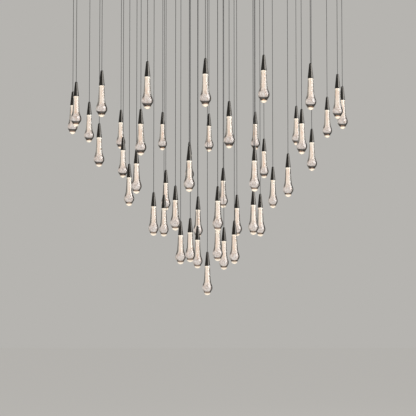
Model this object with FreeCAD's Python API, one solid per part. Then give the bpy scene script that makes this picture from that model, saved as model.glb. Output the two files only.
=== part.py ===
import FreeCAD, Part
import math
import os

# Crystal chandelier: forty-seven glass drops on straight cords below a round ceiling canopy.
# Millimetres, +Z up. The origin is the middle of the ceiling frame's top face, against the ceiling.
# A direction of 0 degrees is the front, -Y, and directions grow towards +X.
# Turned pieces have flats in place of round walls, each section with the area of its circle.

# Layout of the drops: a centre drop and five rings at even steps, each ring hung lower than the next one out.
RING_STEP = 176.0
CENTRE_HANG = 1966.0
RING_NAMES = ("inner", "second", "third", "fourth", "outer")
RING_TURNS = (22.5, 11.25, -11.25, 11.25, 0.0)
RING_HANGS = (1770.0, 1576.0, 1356.0, 1135.0, 900.0)

# How much shorter than its ring's hang each cord is set by hand, from the front round to the right.
RING_SETTINGS = (
    (15, 5, -25, -15, 5, 10),
    (-5, -15, -5, 15, 10, 5, -10, 5),
    (0, 10, 15, -15, 10, -15, -20, 15),
    (15, 25, -5, 5, 0, -15, -15, -10),
    (-10, 25, 20, 20, 15, 15, 10, 5, 5, 5, -15, -15, -15, -25, -20, -10),
)

# Glass drop, from the top: a neck inside the cap, a long throat, a shoulder that swells into the bulb,
# and below the bulb a belly, a chin and the tip. Each radius is the one at its section's lower end.
NECK_LENGTH = 20.0
THROAT_LENGTH = 110.0
THROAT_RADIUS = 23.5
SHOULDER_LENGTH = 28.0
BULB_RADIUS = 33.0
BELLY_LENGTH = 20.0
BELLY_RADIUS = 29.0
CHIN_LENGTH = 18.0
CHIN_RADIUS = 18.5
TIP_LENGTH = 16.5

# Cap: a turned metal cone under a short rounded tip, with an even wall round its socket.
CAP_CONE_HEIGHT = 83.0
CAP_TIP_HEIGHT = 5.5
CAP_BASE_RADIUS = 17.3
CAP_SHOULDER_RADIUS = 8.0
CAP_TOP_RADIUS = 4.5
CAP_WALL = 1.2
NECK_CLEARANCE = 0.3

# Square light source between the neck and the socket's end.
LED_HEIGHT = 8.0
LED_CLEARANCE = 2.0

# Suspension cord, which carries the drop and feeds it.
CORD_DIAMETER = 3.3
CORD_CLEARANCE = 0.3

# Cord grip: a hexagonal head under the canopy and a square stem through it, which can't turn.
GRIP_HEAD_FLATS = 16.0
GRIP_HEAD_HEIGHT = 10.0
GRIP_STEM_SIDE = 9.0
GRIP_STEM_RISE = 10.0
HOLE_CLEARANCE = 0.3

# Canopy: a flat plate that carries the grips, inside a deep skirt a little wider than the outer ring.
CANOPY_MARGIN = 35.0
CEILING_GAP = 1.0
PLATE_THICKNESS = 3.0
SKIRT_THICKNESS = 2.0

# Ceiling frame: two crossed bars and a hub plate, with the bar ends turned down behind the skirt.
FRAME_THICKNESS = 6.0
ARM_WIDTH = 60.0
HUB_SIDE = 240.0
TAB_HEIGHT = 34.0
TAB_THICKNESS = 5.0
CEILING_BOLT_INSET = 115.0
CEILING_HOLE_DIAMETER = 9.0
SUPPLY_HOLE_SIDE = 24.0

# Hexagonal standoffs between the frame and the plate, half a step outside this count of rings, with cap
# nuts on their studs.
STANDOFF_RING_COUNT = 3
STANDOFF_OFFSET = 18.0
STANDOFF_FLATS = 17.0
STUD_FLATS = 6.0
NUT_FLATS = 13.0
NUT_HEIGHT = 9.0
NUT_CROWN = 3.0

# Skirt screws, one into each tab.
SCREW_HEAD_FLATS = 8.0
SCREW_HEAD_HEIGHT = 3.5
SCREW_SHANK_FLATS = 4.0

# Electrical pieces inside the canopy.
DRIVER_TO_STANDOFF = 56.0
DRIVER_LENGTH = 240.0
DRIVER_WIDTH = 56.0
DRIVER_HEIGHT = 30.0
DRIVER_FOOT_LENGTH = 15.0
DRIVER_FOOT_THICKNESS = 3.0
HARNESS_WIDTH = 8.0
HARNESS_HEIGHT = 4.0
TAIL_LENGTH = 3.0
LEAD_WIDTH = 6.0
LEAD_HEIGHT = 4.0
LEAD_TO_BUSHING = 3.0
TERMINAL_LENGTH = 80.0
TERMINAL_WIDTH = 24.0
TERMINAL_HEIGHT = 20.0
BUSHING_WALL = 3.0
BUSHING_FLANGE = 4.0
BUSHING_FLANGE_THICKNESS = 2.0
EARTH_HEAD_FLATS = 8.0
EARTH_HEAD_HEIGHT = 5.0
EARTH_POSITION = -70.0

# Numbers of flats.
TURNED_SIDES = 8
HEX_SIDES = 6
SQUARE_SIDES = 4
CANOPY_SIDES = 36
QUARTERS = 4

# Levels that follow from the sizes above: the pieces inside the canopy stand on one another.
FRAME_UNDERSIDE = -FRAME_THICKNESS
SCREW_LEVEL = FRAME_UNDERSIDE - TAB_HEIGHT / 2.0
DRIVER_UNDERSIDE = FRAME_UNDERSIDE - DRIVER_HEIGHT
SPOKE_TOP = DRIVER_UNDERSIDE - TAIL_LENGTH
LOOP_TOP = SPOKE_TOP - HARNESS_HEIGHT
GRIP_STEM_TOP = LOOP_TOP - HARNESS_HEIGHT
PLATE_TOP = GRIP_STEM_TOP - GRIP_STEM_RISE
PLATE_UNDERSIDE = PLATE_TOP - PLATE_THICKNESS
GRIP_MOUTH = PLATE_UNDERSIDE - GRIP_HEAD_HEIGHT
CAP_HEIGHT = CAP_CONE_HEIGHT + CAP_TIP_HEIGHT

# Distances from the middle that follow from the sizes above.
OUTER_RING_RADIUS = RING_STEP * len(RING_NAMES)
CANOPY_RADIUS = OUTER_RING_RADIUS + CANOPY_MARGIN
SKIRT_INSIDE = CANOPY_RADIUS - SKIRT_THICKNESS
CEILING_BOLT_RADIUS = CANOPY_RADIUS - CEILING_BOLT_INSET
STANDOFF_RADIUS = RING_STEP * STANDOFF_RING_COUNT + RING_STEP / 2.0
DRIVER_RADIUS = STANDOFF_RADIUS - DRIVER_TO_STANDOFF - DRIVER_LENGTH / 2.0
LEAD_OFFSET = SUPPLY_HOLE_SIDE / 2.0 + BUSHING_FLANGE + LEAD_TO_BUSHING + LEAD_WIDTH / 2.0


def even_area_radius(radius, sides):
    """Corner radius of the regular polygon that has the area of a circle."""
    return radius * math.sqrt(2.0 * math.pi / (sides * math.sin(2.0 * math.pi / sides)))


def corner_radius(flats, sides):
    """Corner radius of a regular polygon from its size across the flats."""
    return 0.5 * flats / math.cos(math.pi / sides)


def polygon_points(radius, sides, z, middle=(0.0, 0.0)):
    """Corners of a regular polygon at one level, with flats square to the X and Y axes."""
    start = math.pi / sides
    points = []
    for i in range(sides):
        angle = start + 2.0 * math.pi * i / sides
        x = middle[0] + radius * math.cos(angle)
        y = middle[1] + radius * math.sin(angle)
        points.append(FreeCAD.Vector(x, y, z))
    return points


def closed_face(points):
    """Flat face inside a closed run of points."""
    return Part.Face(Part.makePolygon(points + points[:1]))


def holed_sheet(outline, holes, thickness):
    """Flat sheet that stands up from its outline, with a hole through it inside each of the other outlines."""
    face = closed_face(outline).cut([closed_face(hole) for hole in holes])
    return face.extrude(FreeCAD.Vector(0, 0, thickness)).Solids[0]


def flat_sided(profile, sides, apex=None):
    """Solid with flat sides that follows a profile of (corner radius, level) pairs.

    It is closed flat at its first end, and at its last end too unless an apex gives the level of a point there.
    """
    rows = [polygon_points(radius, sides, z) for radius, z in profile]
    faces = [closed_face(rows[0])]
    for i in range(sides):
        j = (i + 1) % sides
        for upper, lower in zip(rows, rows[1:]):
            faces.append(closed_face([upper[i], upper[j], lower[j], lower[i]]))
        if apex is not None:
            faces.append(closed_face([rows[-1][i], rows[-1][j], FreeCAD.Vector(0, 0, apex)]))
    if apex is None:
        faces.append(closed_face(rows[-1]))
    solid = Part.makeSolid(Part.makeShell(faces))
    if solid.Volume < 0:
        solid.reverse()
    return solid


def turned(profile, apex=None):
    """Turned piece from (radius, level) pairs, each section a polygon of the circle's area."""
    corners = [(even_area_radius(radius, TURNED_SIDES), z) for radius, z in profile]
    return flat_sided(corners, TURNED_SIDES, apex)


def prism(flats, sides, bottom, top):
    """Upright regular prism from its size across the flats."""
    radius = corner_radius(flats, sides)
    return flat_sided([(radius, top), (radius, bottom)], sides)


def block(x0, x1, y0, y1, z0, z1):
    """Box between two corners."""
    return Part.makeBox(x1 - x0, y1 - y0, z1 - z0, FreeCAD.Vector(x0, y0, z0))


def quarter_turns(shape):
    """Four copies of a shape, a quarter turn apart about the Z axis."""
    copies = []
    for i in range(QUARTERS):
        copy = shape.copy()
        copy.rotate(FreeCAD.Vector(), FreeCAD.Vector(0, 0, 1), 90.0 * i)
        copies.append(copy)
    return copies


def placed(shape, seats):
    """Copies of a shape moved to each (x, y, z) seat."""
    return [shape.translated(FreeCAD.Vector(*seat)) for seat in seats]


def save(name, solids):
    """Write one node, a single solid or a group of separate solids."""
    shape = solids[0] if len(solids) == 1 else Part.makeCompound(solids)
    shape.exportStep("parts/" + name + ".step")


def ring_seats(index):
    """Cap-top points of a ring's drops, from the front round to the right."""
    radius = RING_STEP * (index + 1)
    settings = RING_SETTINGS[index]
    seats = []
    for i, setting in enumerate(settings):
        angle = math.radians(RING_TURNS[index] + 360.0 * i / len(settings))
        z = PLATE_UNDERSIDE - RING_HANGS[index] + setting
        seats.append((radius * math.sin(angle), -radius * math.cos(angle), z))
    return seats


CENTRE_SEAT = (0.0, 0.0, PLATE_UNDERSIDE - CENTRE_HANG)
RING_SEATS = [ring_seats(index) for index in range(len(RING_NAMES))]
ALL_SEATS = [CENTRE_SEAT] + [seat for ring in RING_SEATS for seat in ring]


def socket_radius_at(height):
    """Inner radius of the cap's socket at a height above the cap's base."""
    taper = (CAP_BASE_RADIUS - CAP_SHOULDER_RADIUS) / CAP_CONE_HEIGHT
    return CAP_BASE_RADIUS - taper * height - CAP_WALL


def glass_drop():
    """Glass drop, with its levels counted from the cap top."""
    sections = (
        (NECK_LENGTH, CAP_BASE_RADIUS - CAP_WALL - NECK_CLEARANCE),
        (THROAT_LENGTH, THROAT_RADIUS),
        (SHOULDER_LENGTH, BULB_RADIUS),
        (BELLY_LENGTH, BELLY_RADIUS),
        (CHIN_LENGTH, CHIN_RADIUS),
    )
    level = NECK_LENGTH - CAP_HEIGHT
    profile = [(socket_radius_at(NECK_LENGTH) - NECK_CLEARANCE, level)]
    for length, radius in sections:
        level -= length
        profile.append((radius, level))
    return turned(profile, apex=level - TIP_LENGTH)


def cap():
    """Conical metal cap with the socket for the neck and the light source."""
    socket_depth = NECK_LENGTH + LED_HEIGHT
    return turned(
        [
            (CAP_TOP_RADIUS, 0.0),
            (CAP_SHOULDER_RADIUS, -CAP_TIP_HEIGHT),
            (CAP_BASE_RADIUS, -CAP_HEIGHT),
            (socket_radius_at(0.0), -CAP_HEIGHT),
            (socket_radius_at(socket_depth), socket_depth - CAP_HEIGHT),
        ]
    )


def led_module():
    """Square light source on its heat spreader, between the neck and the socket's end."""
    socket_depth = NECK_LENGTH + LED_HEIGHT
    room = even_area_radius(socket_radius_at(socket_depth), TURNED_SIDES) * math.cos(math.pi / TURNED_SIDES)
    radius = room - LED_CLEARANCE
    bottom = NECK_LENGTH - CAP_HEIGHT
    return flat_sided([(radius, bottom + LED_HEIGHT), (radius, bottom)], SQUARE_SIDES)


def cord(seat):
    """Taut cord from just below its grip's mouth down to a cap top."""
    radius = even_area_radius(CORD_DIAMETER / 2.0, HEX_SIDES)
    length = GRIP_MOUTH - CORD_CLEARANCE - seat[2]
    return flat_sided([(radius, length), (radius, 0.0)], HEX_SIDES).translated(FreeCAD.Vector(*seat))


def cord_grip():
    """Cord grip with its head under the plate and its stem through it."""
    head = prism(GRIP_HEAD_FLATS, HEX_SIDES, GRIP_MOUTH, PLATE_UNDERSIDE)
    stem = prism(GRIP_STEM_SIDE, SQUARE_SIDES, PLATE_UNDERSIDE, GRIP_STEM_TOP)
    return head.fuse(stem)


def standoff_middle():
    """Middle of the first standoff, beside the line of its bar."""
    return (STANDOFF_RADIUS, STANDOFF_OFFSET)


def canopy_rim(flat_radius):
    """Outline of the canopy at the plate's underside, from the middle to its flats."""
    return polygon_points(corner_radius(2.0 * flat_radius, CANOPY_SIDES), CANOPY_SIDES, PLATE_UNDERSIDE)


def canopy_plate():
    """Flat plate with a square hole for each grip and a hexagonal hole for each stud."""
    grip_hole = corner_radius(GRIP_STEM_SIDE + 2.0 * HOLE_CLEARANCE, SQUARE_SIDES)
    holes = [polygon_points(grip_hole, SQUARE_SIDES, PLATE_UNDERSIDE, seat[:2]) for seat in ALL_SEATS]
    stud_hole = corner_radius(STUD_FLATS + 2.0 * HOLE_CLEARANCE, HEX_SIDES)
    sheet = holed_sheet(canopy_rim(SKIRT_INSIDE - HOLE_CLEARANCE), holes, PLATE_THICKNESS)
    punch = flat_sided([(stud_hole, PLATE_TOP), (stud_hole, PLATE_UNDERSIDE)], HEX_SIDES)
    x, y = standoff_middle()
    return sheet.cut(quarter_turns(punch.translated(FreeCAD.Vector(x, y, 0))))


def skirt_screw(clearance=0.0):
    """Screw on the +X side, driven inwards through the skirt into the tab."""
    head_radius = corner_radius(SCREW_HEAD_FLATS, HEX_SIDES)
    shank_radius = corner_radius(SCREW_SHANK_FLATS + 2.0 * clearance, HEX_SIDES)
    shank_end = SKIRT_INSIDE - TAB_THICKNESS
    head = flat_sided([(head_radius, CANOPY_RADIUS + SCREW_HEAD_HEIGHT), (head_radius, CANOPY_RADIUS)], HEX_SIDES)
    shank = flat_sided([(shank_radius, CANOPY_RADIUS), (shank_radius, shank_end)], HEX_SIDES)
    screw = head.fuse(shank)
    screw.rotate(FreeCAD.Vector(), FreeCAD.Vector(0, 1, 0), 90.0)
    return screw.translated(FreeCAD.Vector(0, 0, SCREW_LEVEL))


def canopy_skirt():
    """Deep ring round the plate, with a hole for each screw."""
    height = -PLATE_UNDERSIDE - CEILING_GAP
    ring = holed_sheet(canopy_rim(CANOPY_RADIUS), [canopy_rim(SKIRT_INSIDE)], height)
    return ring.cut(quarter_turns(skirt_screw(HOLE_CLEARANCE)))


def ceiling_frame():
    """Crossed bars with turned-down ends, a hub plate, the bolt holes and the supply hole."""
    half = ARM_WIDTH / 2.0
    arm = block(0.0, SKIRT_INSIDE, -half, half, FRAME_UNDERSIDE, 0.0)
    tab_inside = SKIRT_INSIDE - TAB_THICKNESS
    tab = block(tab_inside, SKIRT_INSIDE, -half, half, FRAME_UNDERSIDE - TAB_HEIGHT, FRAME_UNDERSIDE)
    hub_half = HUB_SIDE / 2.0
    frame = block(-hub_half, hub_half, -hub_half, hub_half, FRAME_UNDERSIDE, 0.0)
    frame = frame.fuse(quarter_turns(arm) + quarter_turns(tab)).removeSplitter()
    bolt_hole = Part.makeCylinder(
        CEILING_HOLE_DIAMETER / 2.0,
        FRAME_THICKNESS,
        FreeCAD.Vector(CEILING_BOLT_RADIUS, 0, FRAME_UNDERSIDE),
    )
    supply_hole = prism(SUPPLY_HOLE_SIDE, SQUARE_SIDES, FRAME_UNDERSIDE, 0.0)
    cuts = quarter_turns(bolt_hole) + quarter_turns(skirt_screw(HOLE_CLEARANCE)) + [supply_hole]
    return frame.cut(cuts)


def standoff():
    """Hexagonal standoff with a stud through the plate."""
    body = prism(STANDOFF_FLATS, HEX_SIDES, PLATE_TOP, FRAME_UNDERSIDE)
    stud_end = PLATE_UNDERSIDE - NUT_HEIGHT + NUT_CROWN
    stud = prism(STUD_FLATS, HEX_SIDES, stud_end, PLATE_TOP)
    x, y = standoff_middle()
    return body.fuse(stud).translated(FreeCAD.Vector(x, y, 0))


def cap_nut():
    """Closed nut on a standoff's stud, against the plate's underside."""
    outside = corner_radius(NUT_FLATS, HEX_SIDES)
    bore = corner_radius(STUD_FLATS + 2.0 * HOLE_CLEARANCE, HEX_SIDES)
    bottom = PLATE_UNDERSIDE - NUT_HEIGHT
    profile = [
        (outside, bottom),
        (outside, PLATE_UNDERSIDE),
        (bore, PLATE_UNDERSIDE),
        (bore, bottom + NUT_CROWN),
    ]
    x, y = standoff_middle()
    return flat_sided(profile, HEX_SIDES).translated(FreeCAD.Vector(x, y, 0))


def led_driver():
    """Power supply under a bar, with a foot at each end."""
    half = DRIVER_LENGTH / 2.0
    body_half = half - DRIVER_FOOT_LENGTH
    foot = FRAME_UNDERSIDE - DRIVER_FOOT_THICKNESS
    outline = [
        (-half, FRAME_UNDERSIDE),
        (half, FRAME_UNDERSIDE),
        (half, foot),
        (body_half, foot),
        (body_half, DRIVER_UNDERSIDE),
        (-body_half, DRIVER_UNDERSIDE),
        (-body_half, foot),
        (-half, foot),
    ]
    points = [FreeCAD.Vector(DRIVER_RADIUS + x, -DRIVER_WIDTH / 2.0, z) for x, z in outline]
    return closed_face(points).extrude(FreeCAD.Vector(0, DRIVER_WIDTH, 0))


def harness_loop(seats):
    """Square-section loop over a ring of grip stems."""
    radius = math.hypot(seats[0][0], seats[0][1])
    reach = HARNESS_WIDTH / 2.0 / math.cos(math.pi / len(seats))
    outlines = []
    for edge in (radius + reach, radius - reach):
        share = edge / radius
        outlines.append([FreeCAD.Vector(x * share, y * share, GRIP_STEM_TOP) for x, y, _ in seats])
    return holed_sheet(outlines[0], outlines[1:], HARNESS_HEIGHT)


def low_voltage_harness():
    """Bundles of leads: a loop over each ring of grips, spokes across the loops, and a tail up to each driver."""
    half = HARNESS_WIDTH / 2.0
    spokes = quarter_turns(block(0.0, OUTER_RING_RADIUS, -half, half, LOOP_TOP, SPOKE_TOP))
    crossed_spokes = spokes[0].fuse(spokes[1:]).removeSplitter()
    centre_lead = block(-half, half, -half, half, GRIP_STEM_TOP, LOOP_TOP)
    tail = block(DRIVER_RADIUS - half, DRIVER_RADIUS + half, -half, half, SPOKE_TOP, DRIVER_UNDERSIDE)
    loops = [harness_loop(seats) for seats in RING_SEATS]
    return loops + [crossed_spokes, centre_lead] + quarter_turns(tail)


def mains_leads():
    """Flat mains leads under the frame, from the terminal block to the foot of each driver."""
    reach = DRIVER_RADIUS - DRIVER_LENGTH / 2.0
    near = LEAD_OFFSET - LEAD_WIDTH / 2.0
    far = LEAD_OFFSET + LEAD_WIDTH / 2.0
    bottom = FRAME_UNDERSIDE - LEAD_HEIGHT
    along_x = block(-reach, reach, near, far, bottom, FRAME_UNDERSIDE)
    along_y = block(near, far, -reach, reach, bottom, FRAME_UNDERSIDE)
    return along_x.fuse(along_y).removeSplitter()


def terminal_block():
    """Mains terminal block under the hub, beside the leads."""
    side = LEAD_OFFSET + LEAD_WIDTH / 2.0
    bottom = FRAME_UNDERSIDE - TERMINAL_HEIGHT
    return block(side, side + TERMINAL_LENGTH, side, side + TERMINAL_WIDTH, bottom, FRAME_UNDERSIDE)


def supply_bushing():
    """Square bushing in the supply hole, with its flange under the hub."""
    outside = corner_radius(SUPPLY_HOLE_SIDE - 2.0 * HOLE_CLEARANCE, SQUARE_SIDES)
    bore = corner_radius(SUPPLY_HOLE_SIDE - 2.0 * BUSHING_WALL, SQUARE_SIDES)
    flange = corner_radius(SUPPLY_HOLE_SIDE + 2.0 * BUSHING_FLANGE, SQUARE_SIDES)
    flange_bottom = FRAME_UNDERSIDE - BUSHING_FLANGE_THICKNESS
    body = flat_sided([(outside, 0.0), (outside, FRAME_UNDERSIDE)], SQUARE_SIDES)
    rim = flat_sided([(flange, FRAME_UNDERSIDE), (flange, flange_bottom)], SQUARE_SIDES)
    passage = flat_sided([(bore, 0.0), (bore, flange_bottom)], SQUARE_SIDES)
    return body.fuse(rim).cut(passage).removeSplitter()


def earth_screw():
    """Earth screw under the hub."""
    head = prism(EARTH_HEAD_FLATS, HEX_SIDES, FRAME_UNDERSIDE - EARTH_HEAD_HEIGHT, FRAME_UNDERSIDE)
    return head.translated(FreeCAD.Vector(EARTH_POSITION, EARTH_POSITION, 0))


def save_pendant(name, seat):
    """Write the four pieces of a drop that has its own nodes."""
    save(name + "_cord", [cord(seat)])
    save(name + "_cap", placed(cap(), [seat]))
    save(name + "_led_module", placed(led_module(), [seat]))
    save(name + "_glass_drop", placed(glass_drop(), [seat]))


def save_ring(name, seats):
    """Write a ring of drops, one node for each kind of piece."""
    save(name + "_ring_cords", [cord(seat) for seat in seats])
    save(name + "_ring_caps", placed(cap(), seats))
    save(name + "_ring_led_modules", placed(led_module(), seats))
    save(name + "_ring_glass_drops", placed(glass_drop(), seats))


def main():
    """Build and write every node."""
    os.makedirs("parts", exist_ok=True)
    save("ceiling_frame", [ceiling_frame()])
    save("hex_standoffs", quarter_turns(standoff()))
    save("canopy_plate", [canopy_plate()])
    save("cap_nuts", quarter_turns(cap_nut()))
    save("canopy_skirt", [canopy_skirt()])
    save("skirt_screws", quarter_turns(skirt_screw()))
    save("cord_grips", placed(cord_grip(), [(x, y, 0.0) for x, y, _ in ALL_SEATS]))
    save("led_drivers", quarter_turns(led_driver()))
    save("low_voltage_harness", low_voltage_harness())
    save("mains_leads", [mains_leads()])
    save("terminal_block", [terminal_block()])
    save("supply_bushing", [supply_bushing()])
    save("earth_screw", [earth_screw()])

    save_pendant("centre", CENTRE_SEAT)
    for i, seat in enumerate(RING_SEATS[0]):
        save_pendant("{}_{}".format(RING_NAMES[0], i + 1), seat)
    for name, seats in zip(RING_NAMES[1:], RING_SEATS[1:]):
        save_ring(name, seats)


main()
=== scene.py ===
"""Looks of the crystal chandelier: seeded crystal drops on taut cords below a round canopy.

Lengths are in metres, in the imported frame: the origin is on the ceiling, +Z is up and -Y is the front.
"""

from __future__ import annotations

import itertools
import logging
import math
from dataclasses import dataclass, replace
from enum import Enum
from functools import cache, partial
from typing import Any, Callable, Iterable

import bpy
import numpy as np
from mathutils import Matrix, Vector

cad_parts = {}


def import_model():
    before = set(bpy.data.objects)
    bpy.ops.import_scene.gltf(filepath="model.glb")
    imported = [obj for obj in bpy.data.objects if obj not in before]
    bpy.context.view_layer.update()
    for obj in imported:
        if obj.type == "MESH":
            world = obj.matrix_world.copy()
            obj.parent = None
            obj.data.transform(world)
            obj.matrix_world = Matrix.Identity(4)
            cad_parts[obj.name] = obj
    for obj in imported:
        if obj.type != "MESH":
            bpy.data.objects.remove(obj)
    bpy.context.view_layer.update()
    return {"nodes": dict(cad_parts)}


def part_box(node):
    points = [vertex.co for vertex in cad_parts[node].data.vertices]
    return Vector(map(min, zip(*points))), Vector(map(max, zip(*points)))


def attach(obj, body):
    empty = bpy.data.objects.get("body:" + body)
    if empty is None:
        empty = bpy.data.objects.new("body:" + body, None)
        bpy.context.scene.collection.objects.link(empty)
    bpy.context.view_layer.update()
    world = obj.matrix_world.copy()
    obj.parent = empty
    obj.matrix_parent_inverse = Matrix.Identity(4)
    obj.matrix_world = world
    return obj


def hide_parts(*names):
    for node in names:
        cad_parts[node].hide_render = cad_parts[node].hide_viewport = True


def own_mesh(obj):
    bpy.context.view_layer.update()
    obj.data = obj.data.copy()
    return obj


LOG = logging.getLogger("chandelier")
MM = 0.001
LEVEL = "below_cap"
# The longest cords, up to this many, are picked out.
MAX_DECLARED_CORDS = 40
# The glass below the cap's rim, down to the tip.
GLASS_LENGTH = 192.5 * MM
# Period of a wave texture whose scale is 1.
WAVE_PERIOD = 0.314
# Settings and output of a node that multiplies two colours.
MULTIPLIED = {"out": 2, "data_type": "RGBA", "blend_type": "MULTIPLY"}

Point = tuple[float, float, float]
Pair = tuple[float, float]
Socket = bpy.types.NodeSocket
Tree = bpy.types.NodeTree
Adder = Callable[..., Socket]
Dress = dict[str, Any]


@dataclass
class Patch:
    """A surface: its points, its faces with four and with three sides, and a level for each point."""

    points: np.ndarray
    quads: np.ndarray
    triangles: np.ndarray
    levels: np.ndarray | None = None

    def moved(self, offset: Iterable[float]) -> Patch:
        """The same surface at another place."""
        return replace(self, points=self.points + np.asarray(offset, float))

    def turned(self, angle: float) -> Patch:
        """The same surface turned about the Z axis by an angle in radians, from +X towards +Y."""
        c, s = math.cos(angle), math.sin(angle)
        return replace(self, points=self.points @ np.array([[c, s, 0.0], [-s, c, 0.0], [0.0, 0.0, 1.0]]))

    def laid_out(self) -> Patch:
        """The same surface turned about the Y axis, so that what pointed up points along +X."""
        return replace(self, points=self.points @ np.array([[0, 0, -1.0], [0, 1.0, 0], [1.0, 0, 0]]))


def joined(patches: list[Patch]) -> Patch:
    """One surface that holds several.

    Args:
        patches: The surfaces, in order.

    Returns:
        Their points and faces together, with the face numbers moved on.
    """
    starts = np.cumsum([0] + [len(patch.points) for patch in patches[:-1]])
    return Patch(
        np.concatenate([patch.points for patch in patches]),
        np.concatenate([patch.quads + start for patch, start in zip(patches, starts)]),
        np.concatenate([patch.triangles + start for patch, start in zip(patches, starts)]),
        None if patches[0].levels is None else np.concatenate([patch.levels for patch in patches]),
    )


def four_times(patch: Patch) -> Patch:
    """The surface at each quarter turn about the Z axis."""
    return joined([patch.turned(quarter * math.pi / 2.0) for quarter in range(4)])


def round_angles(sides: int) -> np.ndarray:
    """Equal steps round a circle, in radians."""
    return 2.0 * np.pi * np.arange(sides) / sides


def grid_faces(rows: int, columns: int, closed_rows: bool = False) -> np.ndarray:
    """Faces of a grid of points that closes on itself across its columns.

    Args:
        rows: Number of rows.
        columns: Number of points in a row.
        closed_rows: Whether the last row joins the first.

    Returns:
        Point numbers of the four-sided faces.
    """
    index = np.arange(rows * columns).reshape(rows, columns)
    below = np.roll(index, -1, axis=0)
    upper, lower = (index, below) if closed_rows else (index[:-1], below[:-1])
    upper_next, lower_next = np.roll(upper, -1, axis=1), np.roll(lower, -1, axis=1)
    return np.stack([upper, lower, lower_next, upper_next], axis=-1).reshape(-1, 4)


def capped(rows: np.ndarray, ends: np.ndarray) -> Patch:
    """Grid of rings closed by a fan of triangles at each end.

    Args:
        rows: Points as rings by points by 3, from the top ring to the bottom one.
        ends: The middle points of the first and the last ring.

    Returns:
        The closed surface.
    """
    count, sides = rows.shape[:2]
    points = np.concatenate([rows.reshape(-1, 3), ends])
    first = np.arange(sides)
    last = first + (count - 1) * sides
    top = np.stack([np.full(sides, count * sides), first, np.roll(first, -1)], axis=-1)
    bottom = np.stack([np.full(sides, count * sides + 1), np.roll(last, -1), last], axis=-1)
    return Patch(points, grid_faces(count, sides), np.concatenate([top, bottom]))


def revolve(profile: np.ndarray, sides: int, flats: float = 0.0, ring: bool = False) -> Patch:
    """Surface of revolution: x = r cos a, y = r sin a for each (radius, level) of the profile.

    A hexagon cuts r down to half its width across the flats over the cosine of the angle from the next flat.

    Args:
        profile: Radii and levels from the top to the bottom, or down the outside of a ring and up its inside.
        sides: Number of points round the axis.
        flats: Width across the flats where the piece is a turned hexagon, and 0 where it's round.
        ring: Whether the profile closes on itself. Otherwise it closes flat on the axis at both ends.

    Returns:
        The closed surface.
    """
    angles = round_angles(sides)
    radii = np.repeat(profile[:, :1], sides, axis=1)
    if flats:
        from_flat = np.mod(angles, math.pi / 3.0) - math.pi / 6.0
        radii = np.minimum(radii, 0.5 * flats / np.cos(from_flat))
    levels = np.repeat(profile[:, 1:], sides, axis=1)
    rows = np.stack([radii * np.cos(angles), radii * np.sin(angles), levels], axis=-1)
    if ring:
        return Patch(rows.reshape(-1, 3), grid_faces(len(profile), sides, True), np.zeros((0, 3), int))
    return capped(rows, np.array([[0.0, 0.0, profile[0, 1]], [0.0, 0.0, profile[-1, 1]]]))


def smooth_line(points: Iterable[Pair], steps: int) -> np.ndarray:
    """Curve through points, by the Catmull-Rom cubic: each span bends with the slope between its neighbours.

    Args:
        points: The points that the curve passes, in order.
        steps: Number of equal steps in each span.

    Returns:
        Points along the curve.
    """
    p = np.asarray(list(points), float)
    p = np.concatenate([[2.0 * p[0] - p[1]], p, [2.0 * p[-1] - p[-2]]])
    t = (np.arange(steps) / steps)[None, :, None]
    a, b, c, d = (p[i : len(p) - 3 + i, None, :] for i in range(4))
    curve = 0.5 * (2 * b + (c - a) * t + (2 * a - 5 * b + 4 * c - d) * t**2 + (3 * b - a - 3 * c + d) * t**3)
    return np.concatenate([curve.reshape(-1, 2), p[-2:-1]])


def eased(points: Iterable[Pair], radius: float, steps: int = 4, closed: bool = False) -> np.ndarray:
    """Outline with its corners rounded: a parabola from a little before each corner to a little after it.

    Args:
        points: The outline's corners.
        radius: Distance from a corner at which the rounding starts, less on a short side.
        steps: Number of points less one in a rounded corner.
        closed: Whether the outline comes back to its first corner.

    Returns:
        Points of the rounded outline.
    """
    p = np.asarray(list(points), float)
    before, after = np.roll(p, 1, axis=0) - p, np.roll(p, -1, axis=0) - p
    length_before, length_after = (np.linalg.norm(side, axis=1, keepdims=True) for side in (before, after))
    reach = np.minimum(radius, 0.45 * np.minimum(length_before, length_after))
    start, end = p + before / length_before * reach, p + after / length_after * reach
    t = np.linspace(0.0, 1.0, steps + 1)[None, :, None]
    arcs = (1 - t) ** 2 * start[:, None] + 2 * t * (1 - t) * p[:, None] + t**2 * end[:, None]
    if closed:
        return arcs.reshape(-1, 2)
    return np.concatenate([p[:1], arcs[1:-1].reshape(-1, 2), p[-1:]])


def tube(path: np.ndarray, radius: float, sides: int, up: Point) -> Patch:
    """Round tube along a path: each ring lies square to the path, on the side and top directions there.

    Args:
        path: Points of the middle line.
        radius: Radius of the tube.
        sides: Number of points in a ring.
        up: A direction that the path never takes.

    Returns:
        The tube, closed at both ends.
    """
    tangent = np.gradient(path, axis=0)
    tangent /= np.linalg.norm(tangent, axis=1, keepdims=True)
    side = np.cross(tangent, np.asarray(up, float))
    side /= np.linalg.norm(side, axis=1, keepdims=True)
    top = np.cross(side, tangent)
    angles = round_angles(sides)
    ring = np.cos(angles)[None, :, None] * side[:, None] + np.sin(angles)[None, :, None] * top[:, None]
    return capped(path[:, None] + radius * ring, path[[0, -1]])


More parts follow.
